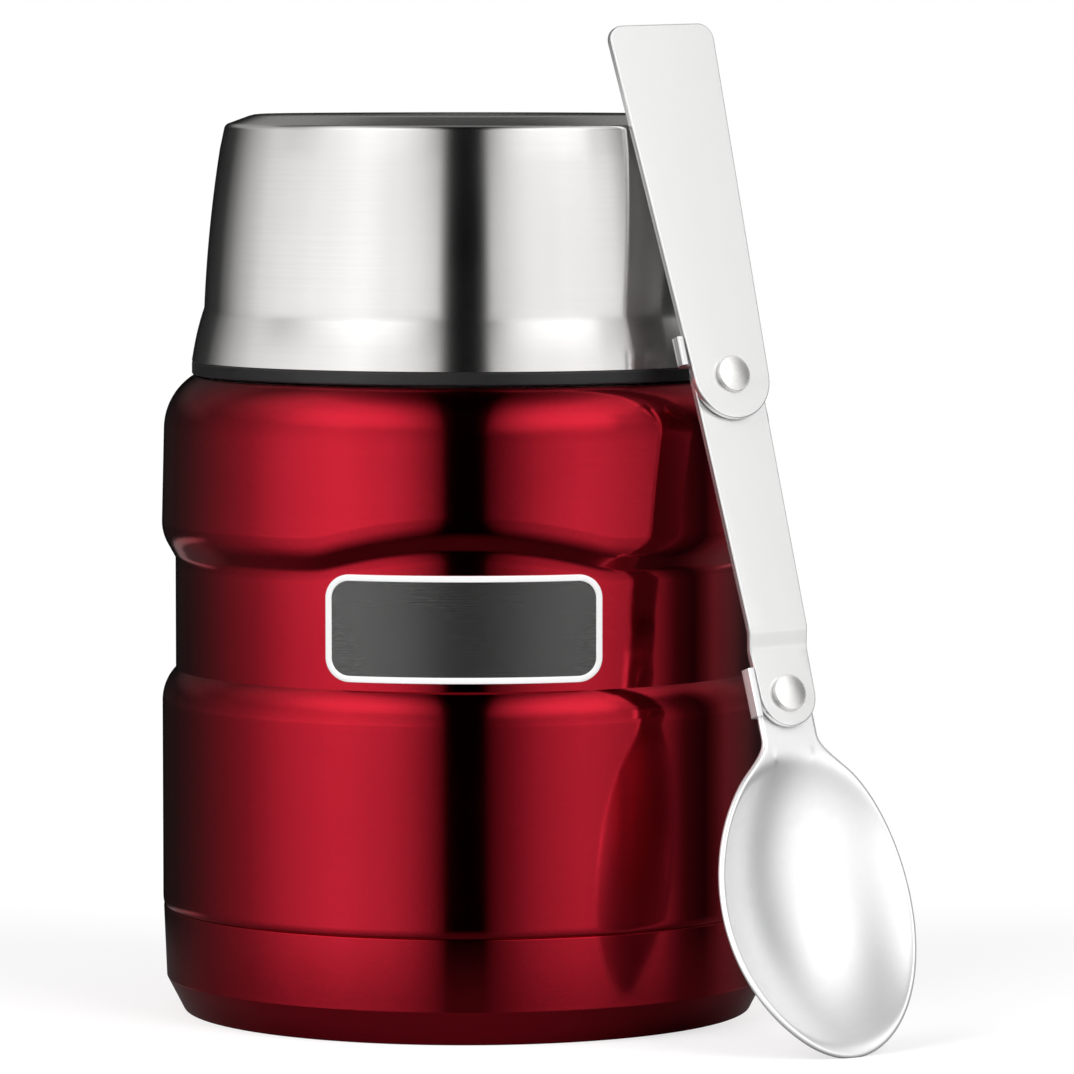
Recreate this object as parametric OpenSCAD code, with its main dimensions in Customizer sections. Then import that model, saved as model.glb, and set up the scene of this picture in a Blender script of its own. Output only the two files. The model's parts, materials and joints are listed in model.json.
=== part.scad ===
// Insulated food jar: a double-walled steel jar, an inner stopper, a screw-on lid that
// serves as a bowl, and a folding spoon that stands on its tip and leans on the lid.
// Millimetres, +Z up. The origin is the centre of the foot, on the table.

/* [Jar body] */
// Outer diameter of the two lacquered bands
band_d = 95; // [92:0.5:100]
// Depth of the waist recess below the bands
waist_depth = 2.1; // [1.6:0.1:2.6]
// Height of the base cup, up to its seam
base_h = 16.4; // [14:0.2:20]
// Height of the lower band, from the seam to the waist floor
lower_band_h = 37; // [33:0.5:42]
// Height of the flat floor of the waist
waist_h = 17.3; // [17:0.1:20]
// Height of the upper band, from the waist floor to the lid seat
upper_band_h = 28.2; // [26:0.2:32]
// Rounding radius of the lower band into the waist
lower_round = 7.2; // [6:0.1:8.5]
// Rounding radius of the upper band into the waist
upper_round = 6.8; // [6:0.1:8]
// Angle from the vertical at which the upper band runs into the waist floor
waist_bevel = 29; // [24:1:34]
// Rounding radius of the shoulder under the lid
shoulder_round = 9.9; // [8.5:0.1:10.4]
// Wall of the outer steel shell
shell_wall = 0.6; // [0.4:0.05:0.8]

/* [Badge and its arch] */
// Rise of the waist floor above the badge
arch_rise = 3.4; // [2.8:0.1:4.2]
// Slope of the flat facet that makes the arch, rise over depth
arch_slope = 0.75; // [0.6:0.05:0.95]
// Width of the badge plate across the front
badge_w = 41.6; // [34:0.2:44]
// Height of the badge plate
badge_h = 16.2; // [13:0.1:16.4]
// Height of the badge plate above the lower edge of the waist
badge_up = 1.3; // [0.8:0.1:1.6]
// Corner radius of the badge plate
badge_corner = 3.6; // [2.5:0.1:5]
// Width of the pale border of the badge
badge_border = 0.95; // [0.7:0.05:1.4]
// Thickness of the badge border
badge_t = 0.6; // [0.5:0.05:0.8]
// Depth of the badge face below its border
badge_sink = 0.15; // [0.1:0.05:0.25]

/* [Base] */
// Diameter at which the base meets the table
foot_d = 88.4; // [86:0.2:89]
// Height of the bevel at the foot
foot_bevel_h = 5.3; // [4.5:0.1:6]
// Width of the flat foot ring
foot_ring_w = 8; // [6:0.5:10]
// Depth of the hollow under the base
foot_hollow = 1.6; // [1.4:0.1:2]
// Thickness of the round cover in the hollow
cover_t = 0.5; // [0.4:0.05:0.7]
// Diameter of the evacuation hole in the base
port_d = 2.4; // [2:0.1:3]

/* [Vessel and neck] */
// Gap between the inner vessel and the waist
vacuum_gap = 3; // [2.6:0.1:3.6]
// Gap between the base and the inner vessel
floor_gap = 3.2; // [3:0.1:4]
// Wall of the inner vessel
vessel_wall = 0.5; // [0.4:0.05:0.7]
// Corner radius of the vessel's bottom
vessel_round = 9; // [7:0.5:12]
// Outer diameter of the neck
neck_d = 75; // [74.4:0.1:75.4]
// Height of the neck above the lid seat
neck_h = 12.6; // [12:0.2:14]
// Width of the ring between the neck's outside and the mouth
mouth_ring = 3; // [2.5:0.1:3.8]
// Thickness of the rolled lip on the mouth
lip_t = 0.6; // [0.5:0.05:0.8]
// Height of the foil wrap round the vessel
foil_h = 64; // [56:1:72]

/* [Stopper] */
// Depth of the plug below the mouth
plug_depth = 19; // [17:0.5:20]
// Height of the stopper above the mouth
stopper_rise = 21.4; // [20:0.2:22.4]
// Thickness of the flange on the mouth
flange_t = 2.6; // [2:0.1:3]
// Gap between the stopper's grip and the lid round it
grip_gap = 1; // [0.9:0.05:1.4]
// Wall of the stopper
stopper_wall = 2.4; // [2:0.1:2.8]
// Thickness of the disc that closes the stopper from below
base_disc_t = 2; // [1.6:0.1:2.4]
// Height of the disc's spigot inside the stopper
spigot_h = 3; // [2:0.2:4]
// Width of the disc's spigot
spigot_w = 1.2; // [1:0.1:1.6]
// Depth of the spoon tray in the stopper's top
tray_depth = 13.5; // [12:0.1:14.5]
// Height of the sealing ring
gasket_h = 2.6; // [2.2:0.1:3.2]
// Depth of the sealing ring's groove
gasket_seat = 1.4; // [1.1:0.1:1.6]
// Number of finger flutes round the stopper's grip
flutes = 24; // [18:1:30]

/* [Lid] */
// Height of the lid, from its rim to its top
lid_h = 40.4; // [39:0.2:44]
// Width by which the rim stands out beyond the side
rim_out = 1.95; // [1.75:0.05:2.1]
// Height of the black rim
rim_h = 2; // [1.6:0.1:2.6]
// Height of the flare above the rim
flare_h = 8.4; // [7:0.1:9.5]
// Air between the lid's bowl and its shell where the flare meets the side
side_air = 0.1; // [0.1:0.05:0.3]
// Diameter at the top of the side
lid_top_d = 76.6; // [76.2:0.1:77.4]
// Width of the rounded edge of the top
lid_edge_w = 5.3; // [4.8:0.1:7]
// Height of the rounded edge of the top
lid_edge_h = 5.4; // [4.8:0.1:6]
// Bulge of the lid's side beyond a straight cone
lid_bulge = 0.35; // [0.1:0.05:0.5]
// Wall of the lid's steel shell
lid_wall = 0.6; // [0.45:0.05:0.7]
// Wall of the lid's inner bowl
bowl_wall = 1.3; // [1.1:0.05:1.4]
// Air gap between the inner bowl and the top
lid_air = 1.2; // [0.8:0.1:1.6]

/* [Spoon] */
// Sheet thickness of the spoon
sheet_t = 1.1; // [0.9:0.05:1.3]
// Distance from the lower rivet to the spoon's tip
bowl_reach = 55.5; // [53:0.5:58]
// Distance from the spoon's tip to the widest part of its bowl
toe_l = 23.5; // [22:0.5:25]
// Distance from the lower rivet to the bowl's heel
heel_at = 7.5; // [7:0.1:8.5]
// Distance between the two rivets
arm_l = 49; // [48:0.5:52]
// Distance from the upper rivet to the handle's end
handle_l = 55.5; // [52:0.5:58]
// Width of the spoon's bowl
scoop_w = 34.4; // [32:0.2:36]
// Depth of the spoon's bowl below its rim
scoop_depth = 7.6; // [6.6:0.1:8.4]
// Dip of the rim, seen from the side
rim_dip = 2.4; // [1.6:0.1:3]
// Width of the handle at its end
handle_end_w = 19; // [17.5:0.2:20.5]
// Width of the handle at the upper rivet
handle_root_w = 13.6; // [13:0.1:14.4]
// Corner radius of the handle's end
handle_corner = 2.5; // [1.8:0.1:3.5]
// Width of the arm at the upper rivet
arm_top_w = 12.4; // [11.6:0.1:12.8]
// Width of the arm at the lower rivet
arm_low_w = 10; // [9.4:0.1:10.6]
// Distance from the lower rivet to the step in the arm
step_at = 6.9; // [6.2:0.1:9]
// Length of the sloped part of the step
step_run = 2.8; // [2:0.1:3.5]
// Height of the step in the arm
step_h = 1.1; // [0.9:0.05:1.3]
// Diameter of the rivets' shanks
rivet_d = 3.6; // [3.2:0.1:4]
// Diameter of the rivets' heads
rivet_head_d = 5.6; // [5:0.1:6.2]
// Height of the rivets' heads
rivet_head_h = 1.05; // [0.8:0.05:1.15]
// Distance of the spoon's tip from the bands, along the table
spoon_stand = 34.2; // [32:0.1:37]
// Direction of the spoon's tip from the jar's axis, in degrees to the right of the front
spoon_bearing = 45.8; // [43:0.1:48]
// Direction that the spoon faces, in degrees to the right of the front
spoon_turn = 33; // [30:0.5:36]
// Turn of the spoon in its own plane
spoon_roll = 1.6; // [0:0.1:3]

/* [Fits] */
// Gap between pieces that move apart
part_gap = 0.3; // [0.25:0.05:0.4]
// Radial clearance of a rivet in the piece that turns on it
turn_fit = 0.05; // [0.03:0.01:0.08]
// Gap between the spoon's stacked plates
plate_gap = 0.3; // [0.25:0.05:0.35]

/* [Hidden] */
$fn = 96;
OVER = 1;                                    // how far a cut runs past the face that it opens
HAIR = 0.005;                                // how far a straight edge lies inside its round ends

band_r = band_d / 2;
waist_r = band_r - waist_depth;
seam_z = base_h;
waist_z0 = seam_z + lower_band_h;
waist_z1 = waist_z0 + waist_h;
seat_z = waist_z1 + upper_band_h;            // flat ledge under the lid's rim
mouth_z = seat_z + neck_h;                   // top of the neck, under the lip
lip_z = mouth_z + lip_t;                     // top of the lip
neck_r = neck_d / 2;
mouth_r = neck_r - mouth_ring;

// Centres of the bands' roundings; each arc ends on the waist floor or on its bevel.
lower_arc_z = waist_z0 - sqrt(pow(lower_round, 2) - pow(lower_round - waist_depth, 2));
bevel_in = upper_round * (1 - cos(waist_bevel));          // depth taken by the rounding
bevel_h = (waist_depth - bevel_in) / tan(waist_bevel);    // height of the straight bevel
upper_arc_z = waist_z1 + bevel_h + upper_round * sin(waist_bevel);
shoulder_end = 57;                           // turn of the shoulder's arc up to the seat
shoulder_arc_z = seat_z - shoulder_round * sin(shoulder_end);

thread_room = 1.3;                           // radial room for the threads round the neck
seam_step = 0.1;                             // the base cup is this much smaller in radius
seam_break = 0.25;                           // broken edge at the seam
cup_lip_h = 3;                               // the cup's lip inside the shell
foot_r = foot_d / 2;
foot_bevel_r = band_r - 0.55;                // radius at the top of the foot's bevel
hollow_r = foot_r - foot_ring_w;
cup_floor_z = foot_hollow + shell_wall;
seal_r = 3;
getter_r = 4;
getter_h = 1.5;
getter_x = 22;

vessel_r = waist_r - shell_wall - vacuum_gap;
vessel_z0 = cup_floor_z + floor_gap;
vessel_shoulder_z = seat_z - shell_wall - vacuum_gap;
vessel_top_round = (vessel_r - mouth_r - vessel_wall) * 0.95;
bore_r = neck_r + thread_room;               // thread bore of the lid's bowl
foil_t = 0.2;
foil_lift = 4;                               // start of the foil above the vessel's corner
foil_z0 = vessel_z0 + vessel_round + foil_lift;

badge_z = waist_z0 + badge_up;

plug_room = 0.6;                             // radial room for the threads in the mouth
plug_r = mouth_r - plug_room;
plug_z0 = mouth_z - plug_depth;
flange_z0 = lip_z + part_gap;
flange_r = neck_r - part_gap;
lid_top_r = lid_top_d / 2;
grip_r = min(bore_r, lid_top_r - lid_wall - bowl_wall) - grip_gap;
stopper_top = lip_z + stopper_rise;
tray_r = grip_r - stopper_wall;
tray_z = stopper_top - tray_depth;
room_r = min(plug_r, grip_r) - stopper_wall; // room for the foam inside the stopper
foam_gap = 0.3;
tray_round = 2;
gasket_z = plug_z0 + base_disc_t + 1.4;
gasket_r = mouth_r - part_gap;
flute_r = 1.6;
flute_depth = 0.55;

lid_z0 = seat_z + 0.2;
lid_top = lid_z0 + lid_h;
lid_side_r = bore_r + bowl_wall + side_air + lid_wall;
lid_rim_r = lid_side_r + rim_out;
rim_top = lid_z0 + rim_h;
flare_top = rim_top + flare_h;
lid_flat_r = lid_top_r - lid_edge_w;
lid_edge_z = lid_top - lid_edge_h;
bowl_top = lid_top - lid_wall - lid_air;

// Levels of the spoon's stacked plates, forward from the back of the lowest.
arm_low_n = sheet_t + plate_gap;
arm_top_n = arm_low_n + step_h;
handle_n = arm_top_n + sheet_t + plate_gap;
rivet_r = rivet_d / 2;
rivet_head_r = rivet_head_d / 2;
rivet_play = 0.05;                           // axial play under a rivet's head
tail_h = 0.6;                                // clenched tail at a rivet's back
boss_r = rivet_head_r + 0.9;                 // pressed ring that spaces two plates
boss_h = plate_gap - rivet_play;
ear_gap = 0.3;
scoop_at = toe_l - bowl_reach;               // station of the widest part of the scoop
neck_w = 10;                                 // width of the spoon's neck
neck_fillet = 6;
toe_lift = 0.1;                              // the tip's height above the table

LACQUER = "firebrick";
STEEL = "silver";
BRUSHED = "gainsboro";
BLACK = [0.08, 0.08, 0.08];
PALE = "whitesmoke";

// ---- helpers -------------------------------------------------------------------------

// Half section of a round column with rounded lower and upper edges.
module column2d(r, z0, z1, round_low, round_top) {
    translate([0, z0 + round_low]) square([r, z1 - z0 - round_low - round_top]);
    translate([0, z0]) square([r - round_low, round_low * 2]);
    translate([0, z1 - round_top * 2]) square([r - round_top, round_top * 2]);
    translate([r - round_low, z0 + round_low]) circle(r = round_low);
    translate([r - round_top, z1 - round_top]) circle(r = round_top);
}

// Half section of a ring, from one radius to another.
module ring2d(r0, r1, z0, z1) translate([r0, z0]) square([r1 - r0, z1 - z0]);

module ring(r0, r1, z0, z1) rotate_extrude() ring2d(r0, r1, z0, z1);

// Outline of a plate that runs straight from one round end to another of its own radius.
module taper_bar(y0, r0, y1, r1) {
    a = acos((r0 - r1) / (y1 - y0));
    m = [sin(a), cos(a)];
    low = [0, y0] + (r0 - HAIR) * m;
    top = [0, y1] + (r1 - HAIR) * m;
    translate([0, y0]) circle(r = r0);
    translate([0, y1]) circle(r = r1);
    polygon([low, top, [-top.x, top.y], [-low.x, low.y]]);
}

module mirrored_x() {
    children();
    mirror([1, 0, 0]) children();
}

// ---- jar body ------------------------------------------------------------------------

// Half section of what the waist recess takes out of the body, for the given inset.
module recess_section(inset) {
    centre = [band_r - upper_round, upper_arc_z];
    arc_end = centre + (upper_round - inset) * [cos(waist_bevel), -sin(waist_bevel)];
    floor_r = waist_r - inset;
    bevel_end_z = arc_end.y - (arc_end.x - floor_r) / tan(waist_bevel);
    difference() {
        polygon([[floor_r, lower_arc_z], [band_r + OVER, lower_arc_z], [band_r + OVER, upper_arc_z],
                 centre, arc_end, [floor_r, bevel_end_z]]);
        translate(centre) circle(r = upper_round - inset);
        translate([band_r - lower_round, lower_arc_z]) circle(r = lower_round - inset);
    }
}

// Half section of the body's outer form above the seam, inset by the given wall. It runs
// on past the seam, and the inset form also past the top of the neck.
module body_section(inset) {
    shoulder = [band_r - shoulder_round, shoulder_arc_z];
    low_z = seam_z - 2 * OVER;
    difference() {
        translate([0, low_z]) square([band_r - inset, seat_z - inset - low_z]);
        recess_section(inset);
        difference() {
            translate(shoulder) square(shoulder_round + OVER);
            translate(shoulder) circle(r = shoulder_round - inset);
        }
    }
    translate([0, low_z]) square([neck_r - inset, mouth_z - low_z + (inset > 0 ? OVER : 0)]);
}

// The arch above the badge: a flat facet, tilted forward, cuts the upper band down to the
// waist floor, and meets that round floor in a curve.
module arch_cut(inset) {
    lift = inset * sqrt(1 + pow(arch_slope, 2));
    top_z = waist_z1 + arch_rise + lift;
    low_z = waist_z0 + waist_h / 2;
    near = waist_r - 12;
    far = band_r + OVER;
    difference() {
        rotate([90, 0, 90]) linear_extrude(band_d, center = true)
            polygon([[-near, low_z], [-far, low_z],
                     [-far, top_z + arch_slope * (far - waist_r)],
                     [-near, top_z - arch_slope * (waist_r - near)]]);
        cylinder(r = waist_r - inset, h = lid_top);
    }
}

module body_form(inset) difference() {
    rotate_extrude() body_section(inset);
    arch_cut(inset);
}

module outer_shell() color(LACQUER) difference() {
    body_form(0);
    body_form(shell_wall);
    // straight cut at the seam, with a broken edge
    rotate_extrude() polygon([[0, seam_z - 3 * OVER], [band_r + OVER, seam_z - 3 * OVER],
        [band_r + OVER, seam_z + OVER + seam_break], [band_r - seam_break, seam_z], [0, seam_z]]);
}

module base_cup() color(LACQUER) {
    rim_r = band_r - seam_step;
    w = shell_wall;
    lip_r = band_r - shell_wall;
    difference() {
        rotate_extrude() difference() {
            union() {
                polygon([[0, 0], [foot_r, 0], [foot_bevel_r, foot_bevel_h],
                         [rim_r, seam_z - seam_break], [rim_r - seam_break, seam_z], [0, seam_z]]);
                translate([0, seam_z - OVER]) square([lip_r, cup_lip_h + OVER]);
            }
            // inside of the cup
            polygon([[0, cup_floor_z], [hollow_r, cup_floor_z], [hollow_r + w, w],
                     [foot_r - w / 2, w], [foot_bevel_r - w, foot_bevel_h + w / 4],
                     [lip_r - w, seam_z - cup_lip_h], [lip_r - w, seam_z + cup_lip_h + OVER],
                     [0, seam_z + cup_lip_h + OVER]]);
            // hollow under the base
            polygon([[0, -OVER], [hollow_r, -OVER], [hollow_r, 0],
                     [hollow_r - w, foot_hollow], [0, foot_hollow]]);
        }
        cylinder(d = port_d, h = seam_z);
    }
}

module base_cover() color(STEEL) rotate_extrude() {
    z = 0.3;
    r = hollow_r - shell_wall - 0.1;
    translate([0, z]) square([r, cover_t]);
    translate([r - cover_t, z]) square([cover_t, foot_hollow - z]);
}

// Solder bead that closes the evacuation hole once the jar has been pumped out.
module seal_plug() color(STEEL) {
    translate([0, 0, foot_hollow - 0.5]) cylinder(r = seal_r, h = 0.5);
    translate([0, 0, foot_hollow]) cylinder(d = port_d, h = shell_wall);
}

module getter() color(STEEL) translate([getter_x, 0, cup_floor_z]) cylinder(r = getter_r, h = getter_h);

module inner_vessel() color(STEEL) rotate_extrude() {
    neck_out_r = mouth_r + vessel_wall;
    difference() {
        union() {
            column2d(vessel_r, vessel_z0, vessel_shoulder_z, vessel_round, vessel_top_round);
            square([neck_out_r, mouth_z]);
        }
        square([neck_out_r + OVER, vessel_z0]);
        column2d(vessel_r - vessel_wall, vessel_z0 + vessel_wall, vessel_shoulder_z - vessel_wall,
                 vessel_round - vessel_wall, vessel_top_round - vessel_wall);
        translate([0, seat_z / 2]) square([mouth_r, lid_top]);
    }
    // rolled lip over the top of the neck
    ring2d(mouth_r, neck_r - lip_t / 2, mouth_z, lip_z);
    ring2d(neck_r - lip_t, neck_r, mouth_z, lip_z - lip_t / 2);
    translate([neck_r - lip_t / 2, lip_z - lip_t / 2]) circle(r = lip_t / 2);
}

module foil_wrap() color("peru") ring(vessel_r, vessel_r + foil_t, foil_z0, foil_z0 + foil_h);

// ---- badge ---------------------------------------------------------------------------

// Outline of the badge seen from the front, inset by the given border.
module badge_outline(inset) {
    r = badge_corner - inset;
    w = badge_w / 2 - inset;
    z0 = badge_z + inset;
    z1 = badge_z + badge_h - inset;
    translate([-w + r, z0]) square([2 * (w - r), z1 - z0]);
    translate([-w, z0 + r]) square([2 * w, z1 - z0 - 2 * r]);
    for (x = [-w + r, w - r], z = [z0 + r, z1 - r]) translate([x, z]) circle(r = r);
}

// A plate of the given thickness, bent round the waist floor behind the outline.
module on_waist(t) intersection() {
    difference() {
        cylinder(r = waist_r + t, h = lid_top);
        translate([0, 0, -OVER]) cylinder(r = waist_r, h = lid_top + 2 * OVER);
    }
    rotate([90, 0, 0]) linear_extrude(band_d) children();
}

module badge_frame() color(PALE) on_waist(badge_t) difference() {
    badge_outline(0);
    badge_outline(badge_border);
}

module badge_face() color("dimgray") on_waist(badge_t - badge_sink) badge_outline(badge_border);

// ---- stopper -------------------------------------------------------------------------

module stopper_body() color(BLACK) difference() {
    rotate_extrude() difference() {
        union() {
            column2d(plug_r, plug_z0 + base_disc_t, flange_z0 + flange_t, 0.3, 0.3);
            column2d(flange_r, flange_z0, flange_z0 + flange_t, 0.6, 0.6);
            column2d(grip_r, flange_z0, stopper_top, 0.6, 1);
        }
        // spoon tray, and the room for the foam below its floor
        column2d(tray_r, tray_z, stopper_top + 2 * tray_round, tray_round, tray_round);
        translate([0, plug_z0]) square([room_r, tray_z - stopper_wall - plug_z0]);
        ring2d(plug_r - gasket_seat, plug_r + OVER, gasket_z, gasket_z + gasket_h);
    }
    for (i = [0 : flutes - 1]) rotate(i * 360 / flutes)
        translate([grip_r + flute_r - flute_depth, 0, flange_z0 + flange_t + 2])
            cylinder(r = flute_r, h = stopper_rise);
}

module stopper_base() color(BLACK) rotate_extrude() {
    column2d(plug_r, plug_z0, plug_z0 + base_disc_t, 0.8, 0.2);
    ring2d(room_r - spigot_w, room_r, plug_z0 + base_disc_t / 2, plug_z0 + base_disc_t + spigot_h);
}

module stopper_foam() color("khaki") rotate_extrude() {
    r = room_r - foam_gap;
    z0 = plug_z0 + base_disc_t;
    z1 = tray_z - stopper_wall;
    over_spigot = spigot_h + foam_gap;
    translate([0, z0]) square([r - spigot_w, z1 - z0]);
    translate([0, z0 + over_spigot]) square([r, z1 - z0 - over_spigot]);
}

module stopper_gasket() color("gray") rotate_extrude() {
    r0 = plug_r - gasket_seat;
    ring2d(r0, plug_r, gasket_z, gasket_z + gasket_h);
    lip = gasket_r - plug_r;
    for (z = [gasket_z + gasket_h * 0.25, gasket_z + gasket_h * 0.75])
        translate([gasket_r - lip - 0.3, z]) intersection() {
            circle(r = lip + 0.3);
            square([2, gasket_h], center = true);
        }
}

// ---- lid -----------------------------------------------------------------------------

// Points along the side of the lid, bulged by a shallow arc.
side_steps = 4;
function side_point(k) =
    let (f = k / side_steps)
    [lid_side_r + (lid_top_r - lid_side_r) * f + lid_bulge * 4 * f * (1 - f),
     flare_top + (lid_edge_z - flare_top) * f];

// Points round the edge of the top, where the spoon leans, as shares of the edge's width
// inwards and of its height below the top.
edge_shape = [[0.06, 0.74], [0.12, 0.48], [0.23, 0.31], [0.62, 0.13], [1, 0]];
edge_points = [for (s = edge_shape) [lid_top_r - s.x * lid_edge_w, lid_top - s.y * lid_edge_h]];

function lid_outline(inset) = concat(
    [[lid_rim_r - inset, rim_top - (inset > 0 ? OVER : 0)],
     [lid_rim_r - 0.3 - inset, rim_top + flare_h * 0.25]],
    [for (k = [0 : side_steps]) side_point(k) - [inset, 0]],
    [for (p = edge_points) p - [inset, inset]]);

module lid_shell() color(BRUSHED) rotate_extrude() difference() {
    polygon(concat([[0, rim_top]], lid_outline(0), [[0, lid_top]]));
    polygon(concat([[0, rim_top - OVER]], lid_outline(lid_wall), [[0, lid_top - lid_wall]]));
}

// The lid's inner bowl: its foot is the black rim that stands on the jar's seat.
module lid_bowl() color(BLACK) rotate_extrude() difference() {
    union() {
        column2d(lid_rim_r, lid_z0, rim_top, 0.4, 0.2);
        intersection() {
            polygon(concat([[0, rim_top]], lid_outline(lid_wall), [[0, lid_top - lid_wall]]));
            translate([0, lid_z0]) square([lid_rim_r, bowl_top - lid_z0]);
        }
    }
    // thread bore below, serving bowl above
    intersection() {
        w = lid_wall + bowl_wall;
        polygon(concat([[0, lid_z0 - OVER], [lid_rim_r, lid_z0 - OVER]], lid_outline(w),
                       [[0, lid_top - w]]));
        translate([0, lid_z0 - OVER]) square([bore_r, bowl_top - bowl_wall - lid_z0 + OVER]);
    }
}

// ---- spoon ---------------------------------------------------------------------------
// In its own frame: +Y runs from the tip to the handle, +Z faces forward, and the origin
// is the lower rivet's axis at the back of the scoop's shank.

function turn_z(p, a) = [p.x * cos(a) - p.y * sin(a), p.x * sin(a) + p.y * cos(a), p.z];
function tilt_x(p, a) = [p.x, p.y * cos(a) - p.z * sin(a), p.y * sin(a) + p.z * cos(a)];

spoon_foot_r = band_r + spoon_stand;
spoon_foot = [spoon_foot_r * sin(spoon_bearing), -spoon_foot_r * cos(spoon_bearing), toe_lift];
toe = [0, -bowl_reach, sheet_t];

function spoon_turned(p, lean) = turn_z(tilt_x(turn_z(p, spoon_roll), 90 - lean), spoon_turn);
function spoon_point(p, lean) = spoon_foot + spoon_turned(p - toe, lean);

// Horizontal gap between the lid's edge and the handle's left back edge at a given lean.
function lean_gap(lean) =
    let (a = spoon_point([-handle_root_w / 2, arm_l, handle_n], lean),
         b = spoon_point([-handle_end_w / 2, arm_l + handle_l, handle_n], lean))
    min([for (e = edge_points)
        let (q = a + (b - a) * (e.y - a.z) / (b.z - a.z)) norm([q.x, q.y]) - e.x]);

// The lean at which that gap is the wanted one, by halving the interval.
function solve_lean(lo, hi, n) =
    n == 0 ? lo : let (mid = (lo + hi) / 2)
    lean_gap(mid) > lean_clear ? solve_lean(mid, hi, n - 1) : solve_lean(lo, mid, n - 1);

lean_clear = part_gap + 0.1;
lean_limits = [8, 32];                       // degrees, halved down to a hair
spoon_lean = solve_lean(lean_limits[0], lean_limits[1], 22);
lower_rivet = spoon_point([0, 0, 0], spoon_lean);
upper_rivet = spoon_point([0, arm_l, 0], spoon_lean);
spoon_facing = spoon_turned([0, 0, 1], spoon_lean);

module spoon_place() translate(lower_rivet)
    rotate([0, 0, spoon_turn]) rotate([90 - spoon_lean, 0, 0]) rotate([0, 0, spoon_roll]) children();

// The scoop is a shallow slice of a body of revolution about an axis in front of it.
scoop_half = scoop_w / 2;
axis_h = (pow(scoop_half, 2) - pow(scoop_depth, 2)) / (2 * scoop_depth);  // axis above the rim
scoop_r = axis_h + scoop_depth;
rim_low_n = sheet_t - rim_dip;               // level of the rim at its lowest
axis_n = rim_low_n + axis_h;
end_r = axis_n - sheet_t;                    // radius of the form where it meets the rim's ends
heel_run = -scoop_at - heel_at;
function arc_through(run, drop) = (pow(run, 2) + pow(drop, 2)) / (2 * drop);
toe_arc = arc_through(toe_l, scoop_r - end_r);
heel_arc = arc_through(heel_run, scoop_r - end_r);
rim_arc = arc_through(toe_l, rim_dip);

module scoop_form(inset) translate([0, 0, axis_n]) rotate([-90, 0, 0]) rotate_extrude() {
    intersection() {
        translate([scoop_r - toe_arc, scoop_at]) circle(r = toe_arc - inset);
        translate([0, scoop_at - toe_l - OVER]) square([scoop_r, toe_l + OVER]);
    }
    intersection() {
        translate([scoop_r - heel_arc, scoop_at]) circle(r = heel_arc - inset);
        translate([0, scoop_at]) square([scoop_r, heel_run + OVER * 3]);
    }
}

module neck_outline() {
    half = neck_w / 2;
    y0 = -bowl_reach * 0.1;
    translate([0, 0]) circle(r = half);
    translate([-half, y0 - neck_fillet]) square([neck_w, neck_fillet - y0]);
    mirrored_x() difference() {
        translate([0, y0 - neck_fillet]) square([half + neck_fillet * 0.8, neck_fillet]);
        translate([half + neck_fillet, y0]) circle(r = neck_fillet);
    }
}

// An ear bent forward at a plate's left edge: the stop for the piece above it.
module ear(x_in, y0, y1, n0, height) {
    translate([x_in - sheet_t, y0, n0]) cube([sheet_t, y1 - y0, height]);
    translate([x_in - sheet_t, y0, n0]) cube([-x_in, y1 - y0, sheet_t]);
}

module spoon_scoop() color(STEEL) spoon_place() difference() {
    union() {
        difference() {
            union() {
                linear_extrude(sheet_t) neck_outline();
                intersection() {
                    scoop_form(0);
                    translate([-scoop_w, -bowl_reach - OVER, -scoop_depth * 2])
                        cube([scoop_w * 2, bowl_reach, scoop_depth * 2 + sheet_t]);
                }
            }
            scoop_form(sheet_t);
            // dipped rim
            translate([0, scoop_at, rim_low_n + rim_arc]) rotate([0, 90, 0])
                cylinder(r = rim_arc, h = scoop_w * 2, center = true, $fn = 360);
        }
        ear(-arm_low_w / 2 - ear_gap, -3, 4.3, 0, arm_low_n + sheet_t + plate_gap);
    }
    translate([0, 0, -OVER]) cylinder(r = rivet_r, h = sheet_t + 2 * OVER);
}

// Side view of the stepped arm.
module arm_side() {
    lo = arm_low_n;
    hi = arm_top_n;
    bend = sheet_t * tan(atan2(hi - lo, step_run) / 2);
    far = arm_l + arm_top_w;
    polygon([[-arm_low_w, lo], [step_at, lo], [step_at + step_run, hi], [far, hi],
             [far, hi + sheet_t], [step_at + step_run - bend, hi + sheet_t],
             [step_at - bend, lo + sheet_t], [-arm_low_w, lo + sheet_t]]);
}

module spoon_arm() color(STEEL) spoon_place() difference() {
    union() {
        intersection() {
            linear_extrude(handle_n) taper_bar(0, arm_low_w / 2, arm_l, arm_top_w / 2);
            rotate([90, 0, 90]) linear_extrude(arm_top_w * 2, center = true) arm_side();
        }
        ring_low = arm_low_n - boss_h;
        translate([0, 0, ring_low]) cylinder(r = boss_r, h = boss_h);
        translate([0, arm_l, 0])
            ear(-handle_root_w / 2 - ear_gap - 0.25, 2, 6.4, arm_top_n, sheet_t + plate_gap + sheet_t);
    }
    cylinder(r = rivet_r + turn_fit, h = handle_n);
    translate([0, arm_l, 0]) cylinder(r = rivet_r, h = handle_n);
}

module handle_outline() {
    root = handle_root_w / 2;
    c = handle_corner;
    corner = [handle_end_w / 2 - c, handle_l - c];
    a = atan2(corner.y, corner.x) - acos((root - c) / norm(corner));
    m = [cos(a), sin(a)];
    side = [m * (root - HAIR), corner + m * (c - HAIR), corner + [0, c - HAIR]];
    circle(r = root);
    mirrored_x() translate(corner) circle(r = c);
    polygon(concat(side, [for (k = [2 : -1 : 0]) [-side[k].x, side[k].y]]));
}

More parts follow.
